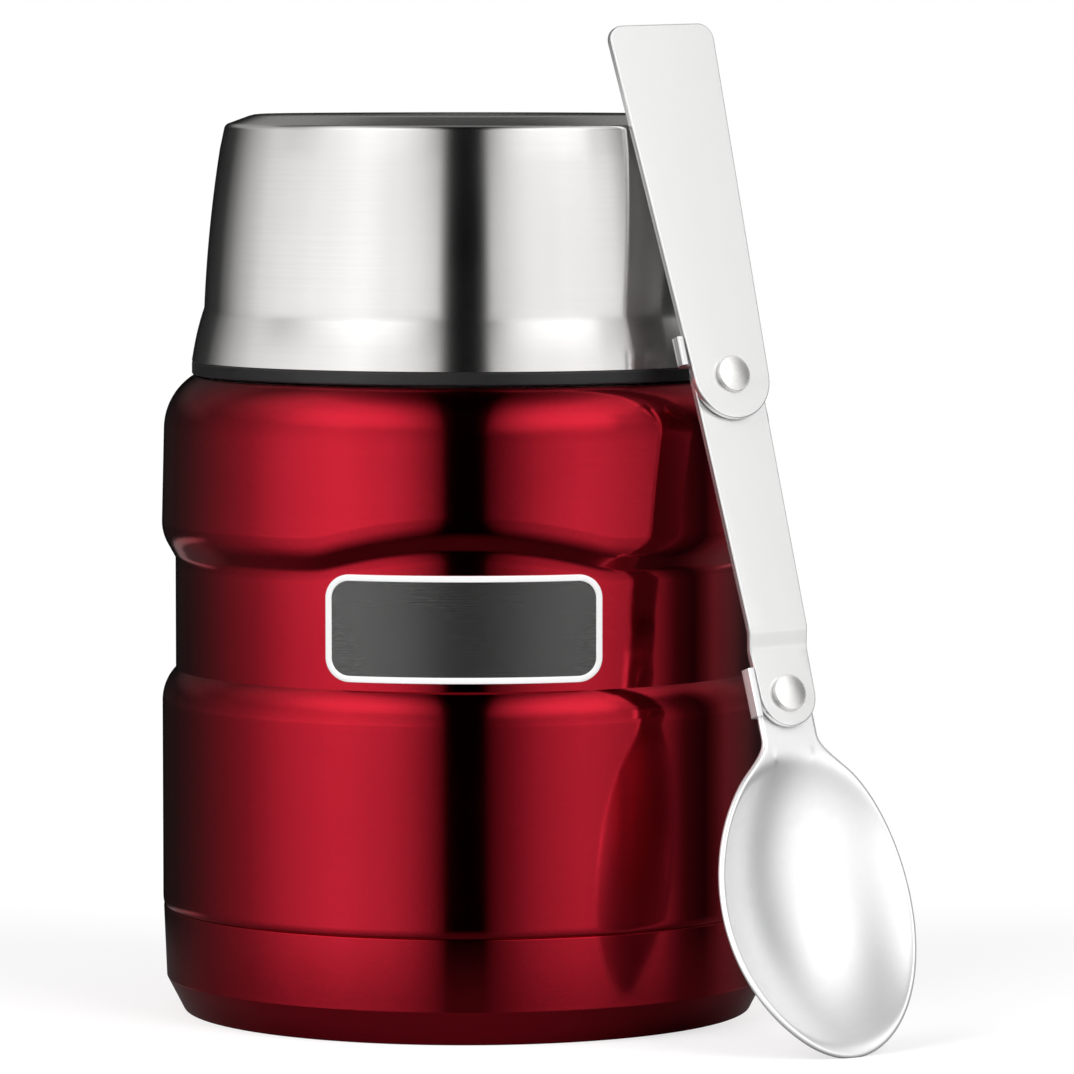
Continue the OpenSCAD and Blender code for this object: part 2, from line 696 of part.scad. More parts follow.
module spoon_handle() color(STEEL) spoon_place() translate([0, arm_l, 0]) difference() {
    union() {
        translate([0, 0, handle_n]) linear_extrude(sheet_t) handle_outline();
        translate([0, 0, handle_n - boss_h]) cylinder(r = boss_r, h = boss_h);
    }
    cylinder(r = rivet_r + turn_fit, h = handle_n + sheet_t + OVER);
}

// A rivet through two plates: clenched tail, shank and domed head. n0 is the back of the
// lower plate, and n1 is the front of the upper one.
module rivet(n0, n1) color(STEEL) rotate_extrude() {
    head = n1 + rivet_play;
    dome_r = (pow(rivet_head_r, 2) + pow(rivet_head_h, 2)) / (2 * rivet_head_h);
    ring2d(0, rivet_r, n0 - tail_h, head + rivet_head_h / 2);
    ring2d(0, rivet_head_r, n0 - tail_h, n0);
    intersection() {
        translate([0, head + rivet_head_h - dome_r]) circle(r = dome_r);
        ring2d(0, rivet_head_r, head, head + rivet_head_h);
    }
}

module rivet_lower() spoon_place() rivet(0, arm_low_n + sheet_t);
module rivet_upper() spoon_place() translate([0, arm_l, 0]) rivet(arm_top_n, handle_n + sheet_t);

// ---- what is drawn -------------------------------------------------------------------

outer_shell();
base_cup();
base_cover();
seal_plug();
getter();
inner_vessel();
foil_wrap();
badge_frame();
badge_face();
stopper_body();
stopper_base();
stopper_foam();
stopper_gasket();
lid_shell();
lid_bowl();
spoon_scoop();
rivet_lower();
spoon_arm();
rivet_upper();
spoon_handle();
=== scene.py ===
"""An insulated food jar with a bowl lid, a stopper and a folding spoon, dressed round its
CAD frame. Shapes are worked out in millimetres and built in metres, +Z up. The jar's axis
is Z, and the spoon is built in its own frame: +Y from tip to handle, +Z forward."""

import json
import math

import bmesh
import bpy
from mathutils import Matrix, Vector
from mathutils.geometry import tessellate_polygon


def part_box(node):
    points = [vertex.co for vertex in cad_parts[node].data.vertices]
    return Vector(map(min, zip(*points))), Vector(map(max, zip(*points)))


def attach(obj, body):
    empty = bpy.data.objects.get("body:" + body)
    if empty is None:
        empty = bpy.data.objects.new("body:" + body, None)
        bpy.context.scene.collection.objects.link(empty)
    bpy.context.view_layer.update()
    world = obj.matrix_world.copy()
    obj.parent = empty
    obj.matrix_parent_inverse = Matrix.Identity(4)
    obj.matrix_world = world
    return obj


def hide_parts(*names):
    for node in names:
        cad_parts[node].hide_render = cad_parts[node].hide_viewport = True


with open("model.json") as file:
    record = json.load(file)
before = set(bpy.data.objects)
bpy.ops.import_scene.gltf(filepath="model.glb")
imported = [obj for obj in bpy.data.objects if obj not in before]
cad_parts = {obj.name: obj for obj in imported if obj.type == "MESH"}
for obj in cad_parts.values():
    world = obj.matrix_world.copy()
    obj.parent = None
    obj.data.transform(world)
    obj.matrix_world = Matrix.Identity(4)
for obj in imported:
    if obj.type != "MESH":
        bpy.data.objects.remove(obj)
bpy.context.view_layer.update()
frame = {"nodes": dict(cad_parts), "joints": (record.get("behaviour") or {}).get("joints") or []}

MM = 0.001
EDGE = 0.2                # small rounding of sheet edges
TURNS = 360               # segments round the lid and the base
SHELL_TURNS = 480
VESSEL_TURNS = 256
RIVET_TURNS = 64
HOLE_SIDES = 36
THREAD_SIDES = 96         # in one turn
THREAD_SUNK = 0.15        # how deep a thread's root stands in its wall
THREAD_RUN_OUT = 8        # a ridge takes one such part of its length to grow at each end
WHITE = (1, 1, 1, 1)


# ---- sizes ------------------------------------------------------------------------------

def span(node):
    """Outer radius, lowest and highest level of a round CAD node, in millimetres."""
    low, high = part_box(node)
    return high.x / MM, low.z / MM, high.z / MM


band_r, seam_z, mouth_z = span("outer_shell")
rim_r, bowl_z0, bowl_top = span("lid_bowl")
_, rim_top, lid_top = span("lid_shell")
_, vessel_z0, lip_z = span("inner_vessel")

# jar body
waist_r = band_r - 2.1
waist_z0 = seam_z + 37
waist_z1 = waist_z0 + 17.3
seat_z = waist_z1 + 28.2
neck_r = 37.5
mouth_r = 34.5
shell_wall = 0.6
lower_round = 7.2
upper_round = 6.8
shoulder_round = 9.9
shoulder_end = 57         # degrees
shoulder_draft = 0.35     # the upper band narrows by this much to its shoulder
waist_bevel = 29          # degrees
waist_start = 0.1         # the waist is straight from this far above its lower edge
seat_run = 3
neck_fillet = 0.5
ledge_in = (4.4, 0.4)     # the wall's inside turns this far out from the shoulder's centre and under the seat
bend_in = (8, 4.4)        # and this far out and up from that centre
arch_rise = 3.5
arch_slope = 0.66
arch_soften = 0.6         # rounds the cusps where the arch meets the waist's edge
arch_from, arch_full = waist_z0 + 6, waist_z1 - 1.5    # the lift grows between these levels
arch_fade, arch_end = seat_z - 20, seat_z - 11         # and fades between these

# base
foot_r = 44.2
foot_round = 0.5
foot_inset = 0.3
foot_bevel_r = band_r - 0.55
foot_bevel_h = 5.3
foot_bevel_round = 0.7
cup_r = band_r - 0.1
cup_tongue = 3            # the cup's wall doubles this far above and below the seam
seam_curl = 0.4           # the shell's lower edge is drawn in by this much behind the seam
seam_curl_h = 1.6
hollow_r = foot_r - 8
hollow_h = 1.6
hollow_round = 0.4
port_r = 1.2

# vessel
vessel_wall = 0.5
vacuum_gap = 3
vessel_r = waist_r - shell_wall - vacuum_gap
vessel_top = seat_z - shell_wall - 2.8
vessel_corner = 9
vessel_shoulder = 6.5
mouth_fillet = 0.5
mouth_drop = 0.6
lip_round = 0.29

# threads, which stand clear of each other, so that lid and stopper can be lifted straight off
thread_low = seat_z + 3
thread_high = mouth_z - 2.5
thread_turns = 1.8
neck_ridge = 0.6
mouth_ridge = 0.2
stopper_root, stopper_crest = mouth_r - 0.6, mouth_r - 0.3
lid_ridge = 0.5

# lid
side_r = rim_r - 1.95
flare_top = rim_top + 8.4
top_r = 38.3
flat_r = 33
edge_h = 5.4
edge_in, edge_drop = 0.8, 1.65    # the corner below the top's round edge
edge_round = 1.1
top_round = 5
bore_r = neck_r + 1.3
side_bulge = 0.35
flare_bulge = 0.22
lid_wall = 0.6
bowl_wall = 1.3
liner_gap = 0.02

# badge
badge_w = 41.6
badge_h = 16.2
badge_corner = 3.6
badge_border = 0.95
badge_z = waist_z0 + 1.3
badge_t = 0.6
badge_soft = 0.12         # rounding of the border's edges
face_t = 0.45

# spoon: stations are counted from the lower rivet, towards the handle
sheet_t = 1.1
half_t = sheet_t / 2
plate_gap = 0.3
reach = 55.5              # to the scoop's tip
toe_l = 23.5
heel_at = 7.5
scoop_half = 17.2
scoop_depth = 7.6
rim_dip = 2.4
neck_blend = (-13.0, -6.3)        # stations between which the bowl's outline runs into the neck
bowl_soft = 0.7           # how softly the bowl's form runs into the flat neck
arm_l = 49
arm_low_r = 5
arm_top_r = 6.2
step_at = 6.9
step_run = 2.8
step_h = 1.1
step_soft = 0.1           # share of the run that each bend takes
step_margin = 0.8
handle_l = 55.5
handle_root_r = 6.8
handle_half = 9.5
handle_corner = 2.5
rivet_r = 1.8
turn_fit = 0.05
rivet_head_r = 2.8
rivet_head_h = 1.05
rivet_edge = 0.22         # flat ledge between a head's side and its dome
rivet_dome = 0.3
rivet_draft = 0.06
rivet_tail = 0.6
ear_bend = 1.3
ear_root = 2.5
ear_inner = 0.3
ear_corner = 0.25
low_ear, low_ear_gap = (-3, 4.3), 0.3
high_ear, high_ear_gap = (arm_l + 2, arm_l + 6.4), 0.55

# The spoon's own frame stands on its lower rivet.
joints = {joint["name"]: joint for joint in frame["joints"]}
low_rivet = Vector(joints["arm_fold"]["pos_m"])
high_rivet = Vector(joints["handle_fold"]["pos_m"])
facing = -Vector(joints["arm_fold"]["axis"]).normalized()
upward = (high_rivet - low_rivet).normalized()
spoon_frame = Matrix((upward.cross(facing), upward, facing)).transposed().to_4x4()
spoon_frame.translation = low_rivet


# ---- outlines -----------------------------------------------------------------------------

def polar(centre, radius, degrees):
    turn = math.radians(degrees)
    return (centre[0] + radius * math.cos(turn), centre[1] + radius * math.sin(turn))


def arc(centre, radius, start, end, steps):
    """Points on an arc, both ends included."""
    return [polar(centre, radius, start + (end - start) * k / steps) for k in range(steps + 1)]


def bowed(a, b, bulge, steps):
    """Points from a to b on a shallow curve that bulges to the right of the way."""
    along = Vector(b) - Vector(a)
    right = Vector((along.y, -along.x)).normalized()
    points = []
    for k in range(steps + 1):
        f = k / steps
        points.append(tuple(Vector(a) + along * f + right * (4 * bulge * f * (1 - f))))
    return points


def rounded(corners, closed=True):
    """An outline whose corners (x, y, radius) are rounded."""
    points = []
    for i, (x, y, radius) in enumerate(corners):
        at_end = not closed and i in (0, len(corners) - 1)
        if radius == 0 or at_end:
            points.append((x, y))
            continue
        here = Vector((x, y))
        back = (Vector(corners[i - 1][:2]) - here).normalized()
        ahead = (Vector(corners[(i + 1) % len(corners)][:2]) - here).normalized()
        turn = math.pi - back.angle(ahead)
        centre = here + (back + ahead).normalized() * (radius / math.cos(turn / 2))
        first = here + back * (radius * math.tan(turn / 2)) - centre
        last = here + ahead * (radius * math.tan(turn / 2)) - centre
        start = math.degrees(math.atan2(first.y, first.x))
        sweep = math.degrees(math.atan2(last.y, last.x)) - start
        sweep = (sweep + 180) % 360 - 180
        steps = max(2, math.ceil(abs(sweep) / 12))
        points += arc(centre, radius, start, start + sweep, steps)
    return points


def dense(points, step):
    """The same outline with no stretch longer than the step."""
    out = []
    for a, b in zip(points, points[1:] + points[:1]):
        pieces = max(1, math.ceil(math.dist(a, b) / step))
        out += [tuple(Vector(a).lerp(Vector(b), k / pieces)) for k in range(pieces)]
    return out


# ---- meshes -------------------------------------------------------------------------------

class Shell:
    """Points and faces of a closed surface, in millimetres."""

    def __init__(self):
        self.points = []
        self.faces = []

    def add(self, points):
        first = len(self.points)
        self.points += [tuple(p) for p in points]
        return list(range(first, len(self.points)))

    def loft(self, rings, loop=False):
        """Joins rings of points, which run anticlockwise seen from where the rings lead."""
        ids = [self.add(ring) for ring in rings]
        pairs = list(zip(ids, ids[1:])) + ([(ids[-1], ids[0])] if loop else [])
        for low, high in pairs:
            count = max(len(low), len(high))
            for j in range(count):
                k = (j + 1) % count
                face = [low[j % len(low)], low[k % len(low)], high[k % len(high)], high[j % len(high)]]
                face = list(dict.fromkeys(face))
                if len(face) > 2:        # two rings of one point each make no face
                    self.faces.append(face)
        return ids

    def strip(self, rings):
        """Joins rings and closes both ends with a face."""
        ids = self.loft(rings)
        self.faces.append(ids[0][::-1])
        self.faces.append(ids[-1])

    def cap(self, rings, up):
        """Closes the flat area inside the first ring and outside the others."""
        flat = [[Vector(self.points[i][:2] + (0,)) for i in ring] for ring in rings]
        ids = [i for ring in rings for i in ring]
        for triangle in tessellate_polygon(flat):
            a, b, c = (Vector(self.points[ids[k]]) for k in triangle)
            face = [ids[k] for k in triangle]
            facing = (b - a).cross(c - a).z
            self.faces.append(face if (facing > 0) == up else face[::-1])


def object_of(name, points, faces, material, place=None):
    mesh = bpy.data.meshes.new(name)
    mesh.from_pydata(points, [], faces)
    if place:
        mesh.transform(place)
    mesh.materials.append(material)
    obj = bpy.data.objects.new(name, mesh)
    bpy.context.scene.collection.objects.link(obj)
    return obj


def piece(name, shell, material, body, replaced=(), place=None, sharp=32):
    """Makes the object of a shell, which is drawn in its own frame and put at its place."""
    obj = object_of(name, [[v * MM for v in p] for p in shell.points], shell.faces, material, place)
    obj.data.shade_smooth()
    obj.data.set_sharp_from_angle(angle=math.radians(sharp))
    smoothing = obj.modifiers.new("flat_faces_stay_flat", "WEIGHTED_NORMAL")
    smoothing.keep_sharp = True
    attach(obj, body)
    if replaced:
        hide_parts(*replaced)
    return obj


def revolve(outline, loop=True, turns=TURNS, lift=None):
    """A shell round Z. The outline runs up its outer side; lift(z, turn) moves it up."""
    rings = []
    for r, z in outline:
        if r == 0:
            rings.append([(0, 0, z)])
            continue
        ring = []
        for k in range(turns):
            turn = 2 * math.pi * k / turns
            up = lift(z, turn) if lift else 0
            ring.append((r * math.cos(turn), r * math.sin(turn), z + up))
        rings.append(ring)
    shell = Shell()
    shell.loft(rings, loop)
    return shell


def coined_rows(thickness, steps=3):
    """(inset, level) rows of a plate's rounded edge, from its back to its front."""
    back = []
    for k in range(steps + 1):
        turn = math.pi / 2 * k / steps
        back.append((EDGE * (1 - math.sin(turn)), EDGE * (1 - math.cos(turn))))
    return back + [(inset, thickness - level) for inset, level in reversed(back)]


def plate(outline, level, thickness, hole):
    """A flat plate. The outline holds (x, y, normal x, normal y), anticlockwise. The hole is
    (x, y, radius)."""
    shell = Shell()
    rings = []
    for inset, up in coined_rows(thickness):
        rings.append([(x - nx * inset, y - ny * inset, level + up) for x, y, nx, ny in outline])
    ids = shell.loft(rings)
    circle = arc(hole[:2], hole[2], 360, 0, HOLE_SIDES)[:-1]
    walls = shell.loft([[(*p, level) for p in circle], [(*p, level + thickness) for p in circle]])
    shell.cap([ids[0], walls[0]], up=False)
    shell.cap([ids[-1], walls[1]], up=True)
    return shell


def rolled(arcs):
    """Outline with normals of straight sides tangent to (centre, radius, start, end, steps)."""
    outline = []
    for centre, radius, start, end, steps in arcs:
        for (x, y), (nx, ny) in zip(arc(centre, radius, start, end, steps),
                                    arc((0, 0), 1, start, end, steps)):
            outline.append((x, y, nx, ny))
    return outline


def helix(radius, crest, z0, z1, turns, width):
    """A thread ridge of triangular section from the radius to the crest, with run-outs."""
    steps = int(turns * THREAD_SIDES)
    sunk = radius - math.copysign(THREAD_SUNK, crest - radius)
    rings = []
    for k in range(steps + 1):
        f = k / steps
        grow = min(1, THREAD_RUN_OUT * f, THREAD_RUN_OUT * (1 - f))
        turn = 2 * math.pi * turns * f
        z = z0 + (z1 - z0) * f
        top = radius + (crest - radius) * grow
        section = [(sunk, z - width / 2), (sunk, z + width / 2), (radius, z + width / 2),
                   (top, z + width / 8), (top, z - width / 8), (radius, z - width / 2)]
        if crest > radius:
            section.reverse()
        rings.append([(r * math.cos(turn), r * math.sin(turn), up) for r, up in section])
    shell = Shell()
    shell.strip(rings)
    return shell


# ---- materials ----------------------------------------------------------------------------

CLOUD_SCALE = 45.0        # broad variation of every finish
GRAIN_SHARE = 0.7
TURNED_SLOW = 25.0        # how slowly the lines of the brushing change along their length
LENGTHWISE_SLOW = 22.0


class Tree:
    """Adds and links shader nodes."""

    def __init__(self, owner):
        owner.use_nodes = True
        self.nodes = owner.node_tree.nodes
        self.links = owner.node_tree.links

    def add(self, kind, *values, out=0, **settings):
        node = self.nodes.new("ShaderNode" + kind)
        for key, value in settings.items():
            setattr(node, key, value)
        for socket, value in zip(node.inputs, values):
            if isinstance(value, bpy.types.NodeSocket):
                self.links.new(value, socket)
            elif value is not None:
                socket.default_value = value
        return node.outputs[out]

    def math(self, operation, *values):
        return self.add("Math", *values, operation=operation)

    def product(self, first, *others):
        for other in others:
            first = self.math("MULTIPLY", first, other)
        return first

    def ramp(self, value, stops, low=0.0, high=1.0):
        """A value looked up between (position, level) stops, for positions from low to high."""
        scaled = self.add("MapRange", value, low, high, 0.0, 1.0)
        output = self.add("ValToRGB", scaled)
        elements = output.node.color_ramp.elements
        while len(elements) < len(stops):
            elements.new(0.5)
        for element, (position, level) in zip(elements, stops):
            element.position = (position - low) / (high - low)
            element.color = (level, level, level, 1)
        return output

    def blend(self, factor, a, b):
        """A colour between a and b."""
        node = self.nodes.new("ShaderNodeMix")
        node.data_type = "RGBA"
        for key, value in ((0, factor), (6, a), (7, b)):
            if isinstance(value, bpy.types.NodeSocket):
                self.links.new(value, node.inputs[key])
            else:
                node.inputs[key].default_value = value
        return node.outputs[2]

    def here(self):
        """The object's own coordinates."""
        return self.add("TexCoord", out=3)

    def place(self):
        """The object's own x, y and z, and the distance from its Z axis."""
        x, y, z = self.add("SeparateXYZ", self.here()).node.outputs
        radius = self.add("VectorMath", self.add("CombineXYZ", x, y), operation="LENGTH", out=1)
        return x, y, z, radius

    def direction(self):
        """x, y and z of the direction from the object's origin."""
        there = self.add("VectorMath", self.here(), operation="NORMALIZE")
        return self.add("SeparateXYZ", there).node.outputs

    def surface(self, shader):
        output = self.nodes.new("ShaderNodeOutputMaterial")
        self.links.new(shader, output.inputs["Surface"])


def bare_tree(name):
    """A new material without a shader, and its tree."""
    material = bpy.data.materials.new(name)
    tree = Tree(material)
    tree.nodes.clear()
    return material, tree


def finish(name, base, second, metallic, roughness, rough_spread, grain, bump=0.0, bump_mm=0.0,
           **sockets):
    """A surface whose colour and roughness vary with its grain, a function of the tree."""
    material = bpy.data.materials.new(name)
    tree = Tree(material)
    shader = tree.nodes["Principled BSDF"]
    value = grain(tree)
    cloud = tree.add("TexNoise", tree.here(), None, CLOUD_SCALE, 2.0, 0.5)
    both = tree.math("MULTIPLY_ADD", tree.math("SUBTRACT", value, 0.5), GRAIN_SHARE, cloud)
    colour = tree.blend(tree.add("MapRange", both, 0.3, 0.7, 0.0, 1.0), (*base, 1), (*second, 1))
    tree.links.new(colour, shader.inputs["Base Color"])
    spread = tree.add("MapRange", both, 0.3, 0.7, roughness - rough_spread, roughness + rough_spread)
    tree.links.new(spread, shader.inputs["Roughness"])
    shader.inputs["Metallic"].default_value = metallic
    for key, setting in sockets.items():
        shader.inputs[key.replace("_", " ")].default_value = setting
    if bump:
        relief = tree.add("Bump", bump, bump_mm * MM, None, value)
        tree.links.new(relief, shader.inputs["Normal"])
    return material


def round_brushing(material):
    """Brushing that runs round the Z axis."""
    tree = Tree(material)
    tangent = tree.add("Tangent", direction_type="RADIAL", axis="Z")
    shader = tree.nodes["Principled BSDF"]
    tree.links.new(tangent, shader.inputs["Tangent"])
    shader.inputs["Anisotropic Rotation"].default_value = 0.25
    return material


def turned_lines(pace):
    """Lines round the Z axis, on walls and on flat tops alike."""
    def grain(tree):
        x, y, z, radius = tree.place()
        point = tree.add("CombineXYZ", tree.math("MULTIPLY", x, TURNED_SLOW),
                         tree.math("MULTIPLY", y, TURNED_SLOW),
                         tree.math("MULTIPLY", tree.math("SUBTRACT", z, radius), pace))
        return tree.add("TexNoise", point, None, 1.0, 3.0, 0.65)
    return grain


def moulded(scale):
    return lambda tree: tree.add("TexNoise", tree.here(), None, scale, 3.0, 0.6)


def lengthwise(pace):
    """Lines along the spoon."""
    to_spoon = spoon_frame.inverted()

    def grain(tree):
        own = tree.add("Mapping", tree.here(), to_spoon.translation, to_spoon.to_euler())
        point = tree.add("VectorMath", own, (pace, LENGTHWISE_SLOW, pace), operation="MULTIPLY")
        return tree.add("TexNoise", point, None, 1.0, 3.0, 0.6)
    return grain


lacquer = round_brushing(finish(
    "red_lacquer", (0.52, 0.012, 0.029), (0.49, 0.010, 0.026), 1.0, 0.12, 0.015,
    turned_lines(2600.0), 0.12, 0.004, Anisotropic=0.6, Coat_Weight=0.1, Coat_Roughness=0.05))
brushed = round_brushing(finish(
    "brushed_steel", (0.87, 0.855, 0.84), (0.83, 0.815, 0.80), 1.0, 0.18, 0.02,
    turned_lines(6800.0), 0.15, 0.005, Anisotropic=0.8))
steel = round_brushing(finish(
    "satin_steel", (0.74, 0.73, 0.71), (0.68, 0.67, 0.65), 1.0, 0.3, 0.05,
    turned_lines(3800.0), 0.25, 0.006, Anisotropic=0.6))
spoon_steel = finish(
    "spoon_steel", (0.9, 0.898, 0.895), (0.885, 0.883, 0.88), 0.85, 0.26, 0.01,
    lengthwise(1000.0))
scoop_steel = finish(
    "scoop_steel", (0.93, 0.93, 0.93), (0.9, 0.9, 0.9), 0.65, 0.34, 0.03, moulded(700.0), 0.04, 0.004)
rivet_steel = finish(
    "rivet_steel", (0.88, 0.87, 0.86), (0.82, 0.81, 0.80), 0.8, 0.27, 0.04, moulded(600.0), 0.08, 0.004)
black_plastic = finish(
    "black_plastic", (0.011, 0.011, 0.012), (0.016, 0.016, 0.017), 0.0, 0.36, 0.06,
    moulded(2600.0), 0.25, 0.02)
silicone = finish(
    "grey_silicone", (0.42, 0.42, 0.41), (0.36, 0.36, 0.35), 0.0, 0.55, 0.06, moulded(1200.0), 0.2, 0.02)
foam = finish(
    "insulation_foam", (0.78, 0.72, 0.5), (0.66, 0.58, 0.38), 0.0, 0.9, 0.05, moulded(900.0), 0.8, 0.3)
foil = finish(
    "copper_foil", (0.78, 0.42, 0.28), (0.7, 0.35, 0.22), 1.0, 0.3, 0.08, moulded(120.0), 0.6, 0.1)
solder = finish(
    "solder", (0.6, 0.6, 0.62), (0.5, 0.5, 0.52), 1.0, 0.4, 0.1, moulded(500.0), 0.3, 0.05)
getter_metal = finish(
    "getter_metal", (0.3, 0.3, 0.32), (0.2, 0.2, 0.22), 1.0, 0.45, 0.1, moulded(700.0), 0.3, 0.05)
border_finish = finish(
    "badge_border", (0.97, 0.97, 0.97), (0.94, 0.94, 0.94), 0.0, 0.3, 0.03, moulded(900.0), 0.03, 0.004)
face_finish = finish(
    "badge_face", (0.1, 0.099, 0.098), (0.095, 0.094, 0.093), 0.75, 0.27, 0.015,
    turned_lines(4200.0))

for node, material in (
        ("base_cover", steel), ("seal_plug", solder), ("getter", getter_metal), ("foil_wrap", foil),
        ("stopper_body", black_plastic), ("stopper_base", black_plastic), ("stopper_foam", foam),
        ("stopper_gasket", silicone)):
    mesh = frame["nodes"][node].data
    mesh.materials.clear()
    mesh.materials.append(material)


# ---- jar body -----------------------------------------------------------------------------

def arch(z, turn):
    """How far the waist's upper edge is lifted over the badge, which faces -Y."""
    if math.sin(turn) > 0:
        return 0
    rise = arch_rise - arch_slope * waist_r * (1 + math.sin(turn))
    rise = (rise + math.hypot(rise, arch_soften)) / 2
    below = (z - arch_from) / (arch_full - arch_from)
    above = (arch_end - z) / (arch_end - arch_fade)
    return rise * max(0, min(1, below, above))


def body_outline():
    """Half section of the outer shell, closed round its wall."""
    lower = (band_r - lower_round, waist_z0 - math.sqrt(
        lower_round ** 2 - (waist_r - band_r + lower_round) ** 2))
    lower_end = math.degrees(math.acos((waist_r - lower[0]) / lower_round))
    bevel = math.radians(waist_bevel)
    taken = upper_round * (1 - math.cos(bevel))
    upper = (band_r - upper_round,
             waist_z1 + (band_r - waist_r - taken) / math.tan(bevel) + upper_round * math.sin(bevel))
    shoulder = (band_r - shoulder_round - shoulder_draft,
                seat_z - shoulder_round * math.sin(math.radians(shoulder_end)))
    outside = [(band_r - seam_curl * (1 - x), seam_z + seam_curl_h * (1 - y))
               for x, y in arc((0, 0), 1, 90, 0, 8)]
    outside += arc(lower, lower_round, 0, lower_end, 14)
    outside += [(waist_r, waist_z0 + waist_start), (waist_r, waist_z1)]
    outside += arc(upper, upper_round, -waist_bevel, 0, 12)
    outside += arc(shoulder, shoulder_round, 0, shoulder_end, 18)
    neck = rounded([(neck_r + seat_run, seat_z, 0), (neck_r, seat_z, neck_fillet), (neck_r, mouth_z, 0)],
                   closed=False)
    inner = band_r - shell_wall
    waist_in = waist_r - shell_wall
    inside = [(neck_r - shell_wall, mouth_z), (neck_r - shell_wall, seat_z - shell_wall),
              (shoulder[0] + ledge_in[0], seat_z - shell_wall - ledge_in[1]),
              (shoulder[0] + bend_in[0], shoulder[1] + bend_in[1]),
              (inner, shoulder[1]), (inner, upper[1]), (waist_in, waist_z1), (waist_in, waist_z0),
              (inner, lower[1]), (inner, seam_z)]
    return outside + neck + inside


outer = piece("jar_shell", revolve(dense(body_outline(), 1.2), turns=SHELL_TURNS, lift=arch), lacquer,
              "jar", ["outer_shell"])
outer.data.materials.append(steel)
for polygon in outer.data.polygons:
    if polygon.center.z > (seat_z - 0.02) * MM:    # the seat and the neck are bare steel
        polygon.material_index = 1

tongue_r = band_r - shell_wall
cup_outline = rounded([
    (port_r, hollow_h, 0), (hollow_r - shell_wall, hollow_h, hollow_round), (hollow_r, 0, hollow_round),
    (foot_r, 0, foot_round), (foot_bevel_r, foot_bevel_h, foot_bevel_round), (cup_r, seam_z, EDGE),
    (tongue_r, seam_z, 0), (tongue_r, seam_z + cup_tongue, 0),
    (tongue_r - shell_wall, seam_z + cup_tongue, 0), (tongue_r - shell_wall, seam_z - cup_tongue, 0),
    (foot_bevel_r - shell_wall, foot_bevel_h, 0), (foot_r - foot_inset, shell_wall, 0),
    (hollow_r + shell_wall, shell_wall, 0), (hollow_r, hollow_h + shell_wall, 0),
    (port_r, hollow_h + shell_wall, 0)])
piece("jar_base", revolve(dense(cup_outline, 2)), lacquer, "jar", ["base_cup"])

# The inner vessel, with the rolled lip that joins it to the neck.
vessel_in, mouth_out = vessel_r - vessel_wall, mouth_r + vessel_wall
vessel_outline = rounded([
    (0, vessel_z0, 0), (vessel_r, vessel_z0, vessel_corner), (vessel_r, vessel_top, vessel_shoulder),
    (mouth_out, vessel_top, mouth_fillet), (mouth_out, mouth_z, 0),
    (neck_r, mouth_z, 0), (neck_r, lip_z, lip_round), (mouth_r, lip_z, lip_round),
    (mouth_r, vessel_top - mouth_drop, mouth_fillet),
    (vessel_in, vessel_top - vessel_wall, vessel_shoulder - vessel_wall),
    (vessel_in, vessel_z0 + vessel_wall, vessel_corner - vessel_wall), (0, vessel_z0 + vessel_wall, 0)],
    closed=False)
piece("inner_flask", revolve(vessel_outline, loop=False, turns=VESSEL_TURNS), steel, "jar",
      ["inner_vessel"])

piece("neck_thread", helix(neck_r, neck_r + neck_ridge, thread_low, thread_high, thread_turns, 1.8),
      steel, "jar")
piece("mouth_thread", helix(mouth_r, mouth_r - mouth_ridge, thread_low + 1, thread_high + 1, 1.6, 1.2),
      steel, "jar")
piece("stopper_thread", helix(stopper_root, stopper_crest, thread_low, thread_high + 0.8, thread_turns, 1.4),
      black_plastic, "stopper")


# ---- badge --------------------------------------------------------------------------------

def badge_outline(inset, steps=12):
    """Points of the badge's outline seen from the front, anticlockwise from its right end."""
    w = badge_w / 2 - badge_corner
    low, high = badge_z + badge_corner, badge_z + badge_h - badge_corner
    points = []
    for centre, start in (((w, high), 0), ((-w, high), 90), ((-w, low), 180), ((w, low), 270)):
        points += arc(centre, badge_corner - inset, start, start + 90, steps)
    return points


def on_waist(x, z, out):
    r = waist_r + out
    return (x, -math.sqrt(r * r - x * x), z)


def ring_on_waist(inset, out, count=40):
    """One ring of points on the bent badge; the long sides are cut into short stretches."""
    outline = badge_outline(inset)
    points = []
    for a, b in zip(outline, outline[1:] + outline[:1]):
        parts = count if abs(a[0] - b[0]) > badge_w / 2 else 1
        for k in range(parts):
            f = k / parts
            points.append(on_waist(a[0] + (b[0] - a[0]) * f, a[1] + (b[1] - a[1]) * f, out))
    return points


border = Shell()
soft, bend = badge_soft, badge_soft * 0.3
border.loft([ring_on_waist(inset, out) for inset, out in (
    (0, 0), (0, badge_t - soft), (bend, badge_t - bend), (soft, badge_t),
    (badge_border - soft, badge_t), (badge_border - bend, badge_t - bend),
    (badge_border, badge_t - soft), (badge_border, 0))], loop=True)
piece("badge_border", border, border_finish, "jar", ["badge_frame"])


